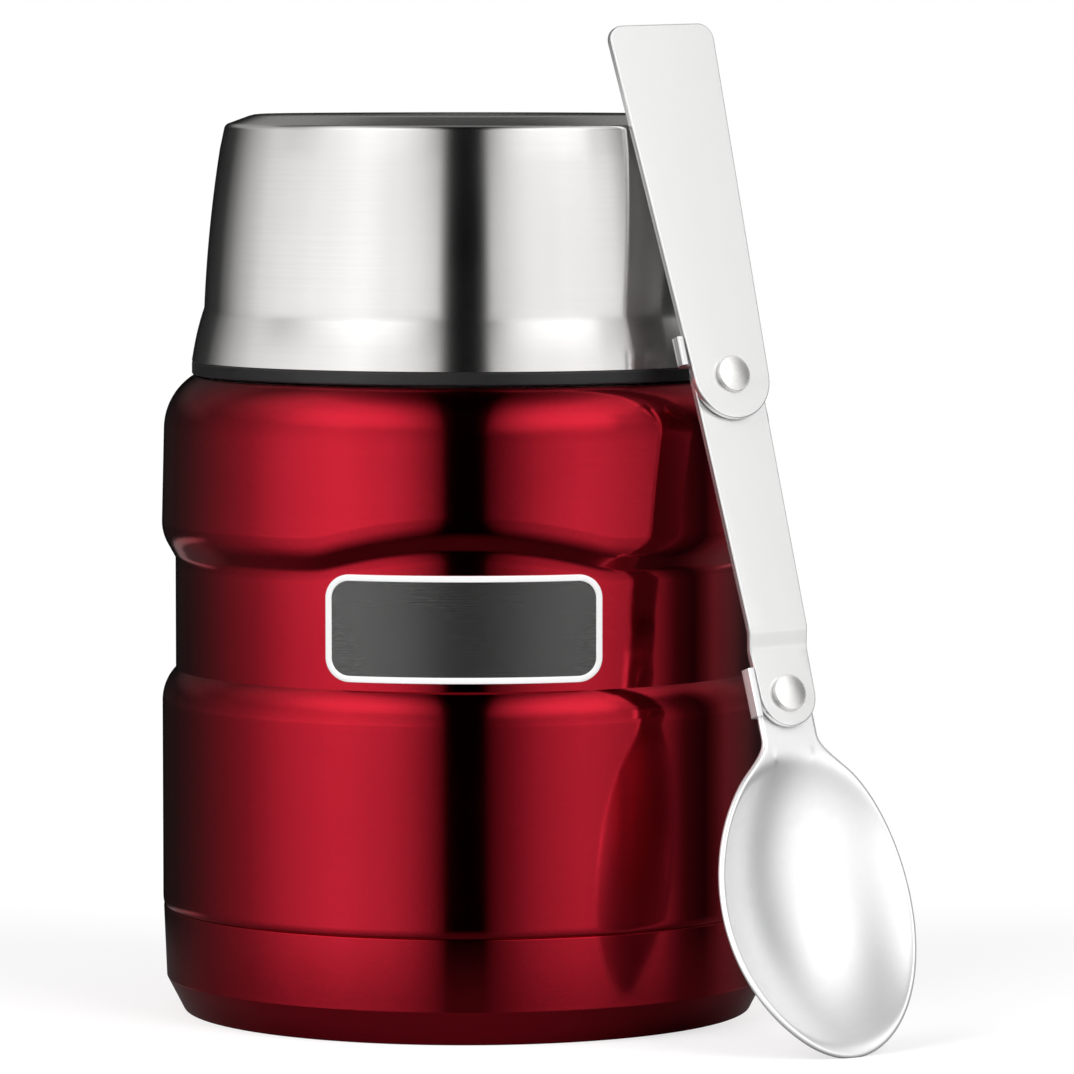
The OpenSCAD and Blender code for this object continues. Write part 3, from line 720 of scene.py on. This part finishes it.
def badge_face():
    """The sunk face: rows of points between the lower and the upper edge of its outline."""
    half = badge_w / 2 - badge_border
    round_r = badge_corner - badge_border
    low, high = badge_z + badge_border, badge_z + badge_h - badge_border
    columns = [half - round_r + round_r * math.sin(math.pi / 2 * k / 10) for k in range(11)]
    flat = [(half - round_r) * k / 30 for k in range(-30, 30)]
    stations = [-x for x in reversed(columns)] + flat[1:] + columns
    rings = []
    for x in stations:
        over = max(0, abs(x) - half + round_r)
        cut = round_r - math.sqrt(max(0, round_r ** 2 - over ** 2))
        rows = [low + cut + (high - low - 2 * cut) * k / 8 for k in range(9)]
        front = [on_waist(x, z, face_t) for z in rows]
        back = [on_waist(x, z, 0) for z in reversed(rows)]
        rings.append(front + back)
    shell = Shell()
    shell.strip(rings)
    return shell


piece("badge_plate", badge_face(), face_finish, "jar", ["badge_face"])


# ---- lid ----------------------------------------------------------------------------------

def lid_side(inset):
    """The lid's outer form from the rim up to the edge of its flat top, inset by a wall."""
    edge_z = lid_top - edge_h
    low = bowed((rim_r, rim_top), (side_r, flare_top), flare_bulge, 8)
    high = bowed((side_r, flare_top), (top_r, edge_z), side_bulge, 14)
    edge = rounded([(top_r, edge_z, 0), (top_r - edge_in, lid_top - edge_drop, edge_round),
                    (flat_r, lid_top, top_round), (0, lid_top, 0)], closed=False)
    return [(r - inset, z - (inset if z > edge_z else 0)) for r, z in low + high[1:] + edge[1:-1]]


lid_outline = ([(rim_r - EDGE, rim_top), (rim_r, rim_top + EDGE)] + lid_side(0)[1:]
               + [(0, lid_top), (0, lid_top - lid_wall)] + lid_side(lid_wall)[::-1])
lid_cover = piece("lid_cover", revolve(lid_outline), brushed, "lid", ["lid_shell"])

inner_wall = [(min(r, bore_r), min(z, bowl_top - bowl_wall))
              for r, z in reversed(lid_side(lid_wall + bowl_wall))]
outer_wall = [(r, min(z, bowl_top)) for r, z in lid_side(lid_wall + liner_gap)]
bowl_rim = rounded([(bore_r, rim_top, 0), (bore_r, bowl_z0, 0.3), (rim_r, bowl_z0, 0.4),
                    (rim_r, rim_top, EDGE), (rim_r - lid_wall, rim_top, 0)], closed=False)
bowl_outline = [(0, bowl_top - bowl_wall)] + inner_wall + bowl_rim[1:] + outer_wall[1:] + [(0, bowl_top)]
piece("lid_liner", revolve(bowl_outline, loop=False), black_plastic, "lid",
      ["lid_bowl"])
piece("lid_thread", helix(bore_r, bore_r - lid_ridge, thread_low - 0.6, thread_high, thread_turns, 1.6),
      black_plastic, "lid")


# ---- spoon --------------------------------------------------------------------------------

# levels of the plates' backs, over the back of the scoop's neck
arm_n = sheet_t + plate_gap
arm_top_n = arm_n + step_h
handle_n = arm_top_n + sheet_t + plate_gap

axis_up = (scoop_half ** 2 - scoop_depth ** 2) / (2 * scoop_depth)
scoop_r = axis_up + scoop_depth
rim_low = sheet_t - rim_dip
axis_n = rim_low + axis_up
scoop_at = toe_l - reach          # station of the bowl's deepest point


def arc_through(run, drop):
    """Radius of the arc that falls by the drop at this run from its top."""
    return (run ** 2 + drop ** 2) / (2 * drop)


end_drop = scoop_r - (axis_n - sheet_t)
toe_arc = arc_through(toe_l, end_drop)
heel_arc = arc_through(-scoop_at - heel_at, end_drop)
rim_arc = arc_through(toe_l, rim_dip)


def form_radius(y, inset):
    """Radius of the bowl's form at a station along the spoon."""
    big = toe_arc if y < scoop_at else heel_arc
    return scoop_r - big + math.sqrt(max(0, (big - inset) ** 2 - (y - scoop_at) ** 2))


def bowl_half_width(y):
    rim = rim_low + rim_arc - math.sqrt(rim_arc ** 2 - (y - scoop_at) ** 2)
    return math.sqrt(max(0, form_radius(y, 0) ** 2 - (axis_n - min(rim, sheet_t)) ** 2))


def half_width(y):
    """Half the width of the scoop's sheet, from its tip to the round end at the rivet."""
    start, end = neck_blend
    if y > 0:
        return math.sqrt(max(0, arm_low_r ** 2 - y * y))
    if y > end:
        return arm_low_r
    if y < start:
        return bowl_half_width(y)
    run = end - start
    t = (y - start) / run
    slope = (bowl_half_width(start) - bowl_half_width(start - 0.5)) / 0.5
    return (bowl_half_width(start) * (1 - 3 * t * t + 2 * t ** 3) + slope * run * (t - 2 * t * t + t ** 3)
            + arm_low_r * (3 * t * t - 2 * t ** 3))


def middle(x, y):
    """Level of the middle of the sheet, where the bowl runs softly into the flat neck."""
    radius = form_radius(y, half_t)
    bowl = axis_n - math.sqrt(max(0.04, radius ** 2 - x * x))
    return (bowl + half_t - math.hypot(bowl - half_t, bowl_soft)) / 2


def on_sheet(x, y):
    """A point of the sheet's middle and its normal."""
    h = 0.02
    slope_x = (middle(x + h, y) - middle(x - h, y)) / (2 * h)
    slope_y = (middle(x, y + h) - middle(x, y - h)) / (2 * h)
    return Vector((x, y, middle(x, y))), Vector((-slope_x, -slope_y, 1)).normalized()


def scoop_edge(count):
    """Points round the scoop's outline, evenly spaced, anticlockwise seen from its front."""
    right = []
    y = -reach
    while y < arm_low_r:
        right.append((half_width(y), y))
        near_end = min(y + reach, arm_low_r - y)
        y += 0.02 if near_end < 1 else 0.1
    right.append((0, arm_low_r))
    right[0] = (0, -reach)
    path = right + [(-x, y) for x, y in reversed(right[1:-1])]
    lengths = [0.0]
    for a, b in zip(path, path[1:] + path[:1]):
        lengths.append(lengths[-1] + math.dist(a, b))
    points = []
    at = 0
    for k in range(count):
        want = lengths[-1] * k / count
        while lengths[at + 1] < want:
            at += 1
        share = (want - lengths[at]) / (lengths[at + 1] - lengths[at])
        a, b = path[at], path[(at + 1) % len(path)]
        points.append((a[0] + (b[0] - a[0]) * share, a[1] + (b[1] - a[1]) * share))
    return points


def ear(shell, x_in, stations, level, height):
    """An ear bent forward at a plate's left edge: a strip of sheet, drawn from its end."""
    top = level + height
    strip = rounded([
        (x_in - sheet_t, level, ear_bend), (x_in + ear_root, level, 0),
        (x_in + ear_root, level + sheet_t, 0), (x_in, level + sheet_t, ear_inner),
        (x_in, top, ear_corner), (x_in - sheet_t, top, ear_corner)])
    shell.strip([[(x, y, n) for x, n in reversed(strip)] for y in stations])


def scoop_shell(count=300, steps=44, bend=8):
    """The scoop's sheet in rings round its hub: the back, the round edge and the front."""
    edge = scoop_edge(count)
    outward = []
    for k in range(count):
        way = (Vector(edge[(k + 1) % count]) - Vector(edge[k - 1])).normalized()
        outward.append(Vector((way.y, -way.x)))
    inner_edge = [Vector(p) - n * half_t for p, n in zip(edge, outward)]
    hub = Vector((0, scoop_at))
    front, back, rim = [], [], []
    for k in range(1, steps + 1):
        sheet = [on_sheet(*hub.lerp(p, k / steps)) for p in inner_edge]
        front.append([point + normal * half_t for point, normal in sheet])
        back.append([point - normal * half_t for point, normal in sheet])
    sheet = [on_sheet(*p) for p in inner_edge]
    for k in range(1, bend):
        turn = math.pi * (k / bend - 0.5)
        ring = []
        for flat, (point, normal) in zip(outward, sheet):
            out = Vector((*flat, 0))
            out = (out - normal * out.dot(normal)).normalized()
            ring.append(point + (out * math.cos(turn) + normal * math.sin(turn)) * half_t)
        rim.append(ring)
    point, normal = on_sheet(*hub)
    shell = Shell()
    shell.loft([[point - normal * half_t], *back, *rim, *reversed(front), [point + normal * half_t]])
    ear(shell, -arm_low_r - low_ear_gap, low_ear, 0, arm_n + sheet_t + plate_gap)
    return shell


def step_lift(y):
    """Height of the arm above its lower end, through the soft bends of its step."""
    f = (y - step_at) / step_run
    return step_h * (math.hypot(f, step_soft) - math.hypot(f - 1, step_soft) + 1) / 2


def arm_shell(cuts=12):
    """A bar between two rivets, cut across at its step and lifted there, and its ear."""
    lean = math.degrees(math.asin((arm_low_r - arm_top_r) / arm_l))
    bar = rolled([((0, 0), arm_low_r, 180 - lean, 360 + lean, 36),
                  ((0, arm_l), arm_top_r, lean, 180 - lean, 36)])
    shell = plate(bar, arm_n, sheet_t, (0, 0, rivet_r + turn_fit))
    mesh = bmesh.new()
    points = [mesh.verts.new(p) for p in shell.points]
    for face in shell.faces:
        mesh.faces.new([points[i] for i in face])
    for k in range(cuts + 1):
        geometry = mesh.verts[:] + mesh.edges[:] + mesh.faces[:]
        station = step_at - step_margin + k * (step_run + 2 * step_margin) / cuts
        bmesh.ops.bisect_plane(mesh, geom=geometry, plane_co=(0, station, 0), plane_no=(0, 1, 0))
    for vertex in mesh.verts:
        vertex.co.z += step_lift(vertex.co.y)
    mesh.verts.index_update()
    shell.points = [tuple(v.co) for v in mesh.verts]
    shell.faces = [[v.index for v in face.verts] for face in mesh.faces]
    mesh.free()
    ear(shell, -handle_root_r - high_ear_gap, high_ear, arm_top_n, 2 * sheet_t + plate_gap)
    return shell


def handle_shell():
    """A bar that widens from its round root to two rounded corners."""
    corner = Vector((handle_half - handle_corner, handle_l - handle_corner))
    side_turn = math.degrees(math.atan2(corner.y, corner.x)
                             - math.acos((handle_root_r - handle_corner) / corner.length))
    grip = rolled([((0, 0), handle_root_r, 180 - side_turn, 360 + side_turn, 40),
                   (tuple(corner), handle_corner, side_turn, 90, 10),
                   ((-corner.x, corner.y), handle_corner, 90, 180 - side_turn, 10)])
    shell = plate(grip, handle_n, sheet_t, (0, 0, rivet_r + turn_fit))
    shell.points = [(x, y + arm_l, n) for x, y, n in shell.points]
    return shell


scoop_sheet = piece("spoon_bowl", scoop_shell(), scoop_steel, "scoop",
                    ["spoon_scoop"], spoon_frame, sharp=50)
arm_plate = piece("spoon_link", arm_shell(), spoon_steel, "arm",
                  ["spoon_arm"], spoon_frame, sharp=50)
handle_plate = piece("spoon_grip", handle_shell(), spoon_steel, "handle",
                     ["spoon_handle"], spoon_frame, sharp=50)


def rivet(name, y, back, front, body, replaced):
    """A rivet with a straight-sided, slightly domed head and a clenched tail."""
    head = front + turn_fit
    head_top = head + rivet_head_h
    shoulder = head_top - rivet_dome
    tail = back - rivet_tail
    dome_r = rivet_head_r - rivet_edge
    dome = arc_through(dome_r, rivet_dome)
    half = math.degrees(math.asin(dome_r / dome))
    outline = rounded([
        (0, tail, 0), (rivet_head_r, tail, 0.25), (rivet_head_r, back, 0.05), (rivet_r, back, 0),
        (rivet_r, head, 0), (rivet_head_r, head, 0.05), (rivet_head_r - rivet_draft, shoulder, 0.1),
        (dome_r, shoulder, 0)], closed=False)
    outline += arc((0, head_top - dome), dome, 90 - half, 90, 10)[1:-1] + [(0, head_top)]
    place = spoon_frame @ Matrix.Translation((0, y * MM, 0))
    return piece(name, revolve(outline, loop=False, turns=RIVET_TURNS), rivet_steel, body,
                 [replaced], place)


low_head = rivet("lower_pivot", 0, 0, arm_n + sheet_t, "scoop", "rivet_lower")
high_head = rivet("upper_pivot", arm_l, arm_top_n, handle_n + sheet_t, "arm", "rivet_upper")


# ---- studio -------------------------------------------------------------------------------

FILL_LIGHT = 0.38         # the world's level for all but the camera, metal and glass
LAMP_WATTS = 44.0
LAMP_SIZE = (1.6, 1.8)
LAMP_AWAY, LAMP_UP = 2.0, 1.5
LAMP_TURN = 48            # degrees to the left and the right of the camera
KEY = 1.2                 # brightness of the big softboxes, seen in metal
SCOOP_LIGHT = 1.3
TENT_R, LID_LIGHT_R, SCOOP_LIGHT_R, PLATES_LIGHT_R = 3.0, 2.5, 2.4, 2.3
TENT_Z = 0.07
FLOOR_R = 6
FLOOR_GLOW = 0.66         # added to the floor for the camera, so that it reads white
FLOOR_SHADOW_R = (0.15, 0.6)      # the shadow fades between these distances
FLOOR_FADE_R = (0.08, 0.125)      # and the floor in metal between these
NEAR_FLOOR = 0.056        # metal sees the whole floor this far round the jar
FLOOR_PAINTED_SHADE_IN_METAL = 0.32     # how bright that floor is in metal: its colour is darkened there as painted shade, for the shade beside the jar's foot
LENS = 228.2
CAMERA_PLACE = (0.01097, -1.060, 0.148)
CAMERA_DOWN = 4.017       # degrees


def white_background(world):
    """White for the camera and in metal and glass, and a soft level of light elsewhere."""
    tree = Tree(world)
    rays = tree.add("LightPath").node.outputs
    shown = tree.math("MAXIMUM", rays["Is Camera Ray"],
                      tree.math("MAXIMUM", rays["Is Glossy Ray"], rays["Is Transmission Ray"]))
    strength = tree.add("MapRange", shown, 0.0, 1.0, FILL_LIGHT, 1.0)
    background = tree.nodes["Background"]
    background.inputs["Color"].default_value = WHITE
    tree.links.new(strength, background.inputs["Strength"])


world = bpy.data.worlds.new("studio")
bpy.context.scene.world = world
white_background(world)


def flags_material():
    """What metal sees round the set: the white background through a pair of wide openings,
    shaded by dark flags in front, above, below and behind, by direction from the set."""
    material, tree = bare_tree("flags")
    x, y, z = tree.direction()
    aside = tree.math("ABSOLUTE", x)
    front = tree.math("MULTIPLY", y, -1.0)
    wide = tree.ramp(aside, [(0, 0), (0.12, 0), (0.15, 0.13), (0.216, 0.313), (0.276, 0.45),
                             (0.342, 0.6), (0.46, 0.79), (0.574, 0.89), (0.69, 1), (1, 1)])
    deep = tree.ramp(front, [(-1, 0.02), (-0.78, 0.03), (-0.63, 0.055), (-0.48, 0.1), (-0.34, 0.16),
                             (-0.22, 0.22), (-0.1, 0.29), (0.02, 0.37), (0.12, 0.49), (0.33, 0.76),
                             (0.62, 1), (1, 1)], -1.0)
    rise = tree.ramp(z, [(-1, 0), (-0.8, 0.02), (-0.69, 0.17), (-0.41, 0.47), (-0.15, 0.525),
                         (-0.11, 0.51), (-0.08, 0.54), (-0.066, 0.7), (-0.03, 0.68), (0.05, 0.62),
                         (0.2, 0.6), (0.35, 0.6), (0.5, 0.85), (0.675, 0.833), (0.85, 0.6),
                         (1, 0.38)], -1.0)
    # a screen to the right, up to a level that falls towards the front
    screen = tree.ramp(front, [(-1, 0.5), (-0.82, 0.6), (-0.65, 1), (-0.42, 0.7), (-0.31, 0.25),
                               (-0.2, 0.04), (0, 0.085), (0.1, 0.2), (0.182, 0.3), (0.345, 0.33),
                               (0.489, 0.345), (0.616, 0.37), (0.725, 0.395), (0.816, 0.38),
                               (0.889, 0.34), (0.943, 0.275), (0.98, 0.26), (1, 0.25)], -1.0)
    above = tree.math("SUBTRACT", z, tree.add("MapRange", front, 0.3, 0.5, 0.35, 0.0))
    screened = tree.math("MULTIPLY", tree.math("GREATER_THAN", x, 0.0),
                         tree.add("MapRange", above, 0.22, 0.38, 1.0, 0.0))
    screen = tree.add("MapRange", screened, 0.0, 1.0, 1.0, tree.math("MULTIPLY", screen, 2.0))
    sides = tree.product(wide, deep, screen, rise, 1.5 * KEY)
    high = tree.ramp(z, [(0, 0), (0.5, 0), (0.7, 0.25), (0.85, 0.45), (0.95, 0.18), (1, 0.1)])
    ahead = tree.ramp(front, [(-1, 0), (-0.45, 0), (-0.05, 1), (1, 1)], -1.0)
    gate = tree.ramp(aside, [(0, 0), (0.12, 0), (0.15, 0.05), (0.2, 0.17), (0.25, 0.3), (0.3, 0.43),
                             (0.35, 0.56), (0.4, 0.68), (0.45, 0.8), (0.52, 0.95), (0.6, 1), (1, 1)])
    top = tree.product(high, ahead, gate, KEY)
    bands = tree.ramp(z, [(-1, 0.1), (-0.31, 0.1), (-0.28, 0.45), (-0.23, 0.45), (-0.2, 0),
                          (0.13, 0), (0.3, 0.1), (1, 0.1)], -1.0)
    behind = tree.ramp(front, [(-1, 1), (-0.6, 1), (-0.42, 0), (1, 0)], -1.0)
    back = tree.product(bands, behind, wide, 0.75)
    total = tree.math("ADD", tree.math("ADD", sides, top), back)
    open_part = tree.math("MINIMUM", total, 1.0)
    glow = tree.math("MAXIMUM", tree.math("SUBTRACT", total, 1.0), 0.0)
    see_through = tree.add("BsdfTransparent", tree.add("CombineColor", open_part, open_part, open_part))
    tree.surface(tree.add("AddShader", see_through, tree.add("Emission", WHITE, glow)))
    return material


def lid_level(tree, x, y, z):
    """Light from two tall softboxes beside the camera, by turn from the front in degrees, and
    weaker light from above behind the set, for the lid's top."""
    turn = tree.math("DEGREES", tree.math("ARCTAN2", x, tree.math("MULTIPLY", y, -1.0)))
    beside = tree.ramp(turn, [(-180, 0), (-139, 0), (-129, 0.12), (-117, 0.36), (-101, 0.56),
                              (-88, 0.52), (-76, 0.28), (-65, 0.11), (-54, 0.02), (-34, 0.03),
                              (-25, 0.17), (-15, 0.4), (-11, 0.5), (-10, 0), (9.5, 0), (10.5, 0.5),
                              (15, 0.5), (22, 0.46), (31, 0.33), (41, 0.16), (50, 0.18), (61, 0.36),
                              (69, 0.38), (75, 0.18), (80, 0.04), (90, 0), (180, 0)], -180.0, 180.0)
    rise = tree.ramp(z, [(-1, 0), (-0.15, 0), (-0.05, 1), (0.12, 1), (0.22, 0.85), (0.38, 0.35),
                         (0.55, 0), (1, 0)], -1.0)
    above = tree.ramp(z, [(-1, 0), (0.22, 0), (0.32, 0.22), (0.58, 0.22), (0.66, 0), (0.78, 0),
                          (0.86, 0.28), (1, 0.28)], -1.0)
    behind = tree.ramp(y, [(-1, 0), (0, 0), (0.25, 1), (1, 1)], -1.0)
    return tree.math("MULTIPLY_ADD", beside, rise, tree.product(above, behind))


def scoop_level(tree, x, y, z):
    """Light from a broad low softbox in front, stronger to the left."""
    ahead = tree.ramp(tree.math("MULTIPLY", y, -1.0), [(-1, 0), (0, 0), (0.45, 1), (1, 1)], -1.0)
    aside = tree.ramp(x, [(-1, 1), (-0.5, 1), (0, 0.8), (0.3, 0.68), (0.6, 0.68), (0.9, 0.45),
                          (1, 0.3)], -1.0)
    rise = tree.ramp(z, [(-1, 0.35), (-0.6, 0.55), (-0.3, 1), (0.1, 0.85), (0.4, 0.5), (0.6, 0.25),
                         (0.8, 0), (1, 0)], -1.0)
    return tree.product(ahead, aside, rise, SCOOP_LIGHT)


def plates_level(tree, x, y, _):
    """Even light from the front's right, for the spoon's flat plates and rivets."""
    ahead = tree.ramp(tree.math("MULTIPLY", y, -1.0), [(-1, 0), (0.1, 0), (0.4, 0.45), (0.82, 0.45),
                                                       (0.95, 0.1), (1, 0.1)], -1.0)
    across = tree.ramp(x, [(-1, 0.25), (-0.4, 0.25), (0, 1), (1, 1)], -1.0)
    return tree.product(ahead, across)


def surround(name, radius, material):
    """A sphere round the set, seen only in reflections."""
    points, faces, columns, rows = [], [], 48, 24
    for j in range(rows + 1):
        up = math.pi * (j / rows - 0.5)
        for k in range(columns):
            turn = 2 * math.pi * k / columns
            points.append((radius * math.cos(up) * math.cos(turn),
                           radius * math.cos(up) * math.sin(turn), radius * math.sin(up)))
    for j in range(rows):
        for k in range(columns):
            a, b = j * columns + k, j * columns + (k + 1) % columns
            faces.append((a, b, b + columns, a + columns))
    obj = object_of(name, points, faces, material)
    obj.location.z = TENT_Z
    for ray in ("camera", "diffuse", "transmission", "volume_scatter", "shadow"):
        setattr(obj, "visible_" + ray, False)
    return obj


def softboxes(name, radius, level, *mirrors):
    """Softboxes by direction from the set, which only the named pieces mirror."""
    material, tree = bare_tree(name)
    lit = tree.add("Emission", WHITE, level(tree, *tree.direction()))
    tree.surface(tree.add("AddShader", tree.add("BsdfTransparent", WHITE), lit))
    material.cycles.emission_sampling = "NONE"
    receivers = bpy.data.collections.new(name)
    for mirror in mirrors:
        receivers.objects.link(mirror)
    surround(name, radius, material).light_linking.receiver_collection = receivers


surround("flags", TENT_R, flags_material())
softboxes("lid_softboxes", LID_LIGHT_R, lid_level, lid_cover)
softboxes("scoop_softbox", SCOOP_LIGHT_R, scoop_level, scoop_sheet)
softboxes("plates_softbox", PLATES_LIGHT_R, plates_level, arm_plate, handle_plate,
          low_head, high_head)


def floor_material():
    """A pale floor that reads white, keeps the shadow, and ends near the jar for metal."""
    material, tree = bare_tree("floor")
    rays = tree.add("LightPath").node.outputs
    radius = tree.place()[3]
    grain = tree.add("TexNoise", tree.here(), None, 30.0, 3.0, 0.5)
    colour = tree.blend(grain, (0.375, 0.375, 0.375, 1), (0.385, 0.385, 0.385, 1))
    # painted shade: for glossy rays the floor's colour is darkened, standing in for the shade beside the
    # jar's foot
    painted_shade_in_metal = tree.add("MapRange", rays["Is Glossy Ray"], 0.0, 1.0, 1.0, FLOOR_PAINTED_SHADE_IN_METAL)
    paint = tree.add("BsdfDiffuse", tree.add("VectorMath", colour, None, None, painted_shade_in_metal, operation="SCALE"))
    seen = tree.math("MAXIMUM", rays["Is Camera Ray"], rays["Is Transmission Ray"])
    lit = tree.add("AddShader", paint, tree.add("Emission", WHITE, tree.product(seen, FLOOR_GLOW)))
    away = tree.add("MapRange", radius, *FLOOR_SHADOW_R, 0.0, 1.0, interpolation_type="SMOOTHSTEP")
    lit = tree.add("MixShader", away, lit, tree.add("Emission", WHITE, seen))
    fading = tree.add("MapRange", radius, *FLOOR_FADE_R, 0.45, 1.0)
    cut = tree.product(tree.math("GREATER_THAN", radius, NEAR_FLOOR), fading, rays["Is Glossy Ray"])
    tree.surface(tree.add("MixShader", cut, lit, tree.add("BsdfTransparent", WHITE)))
    return material


floor_ring = [(*point, 0) for point in arc((0, 0), FLOOR_R, 0, 360, 96)[:-1]]
object_of("floor", floor_ring, [list(range(96))], floor_material())

for name, turn in (("lamp_left", -LAMP_TURN), ("lamp_right", LAMP_TURN)):
    light = bpy.data.lights.new(name, "AREA")
    light.shape = "RECTANGLE"
    light.size, light.size_y = LAMP_SIZE
    light.energy = LAMP_WATTS
    lamp = bpy.data.objects.new(name, light)
    bpy.context.scene.collection.objects.link(lamp)
    lamp.location = (*polar((0, 0), LAMP_AWAY, turn - 90), LAMP_UP)
    lamp.rotation_euler = (Vector((0, 0, TENT_Z)) - lamp.location).to_track_quat("-Z", "Y").to_euler()
    lamp.visible_glossy = False

camera_data = bpy.data.cameras.new("camera")
camera_data.sensor_width = 36
camera_data.lens = LENS
camera = bpy.data.objects.new("camera", camera_data)
bpy.context.scene.collection.objects.link(camera)
camera.location = CAMERA_PLACE
camera.rotation_euler = (math.radians(90 - CAMERA_DOWN), 0, 0)
bpy.context.scene.camera = camera
bpy.context.scene.view_settings.view_transform = "Standard"
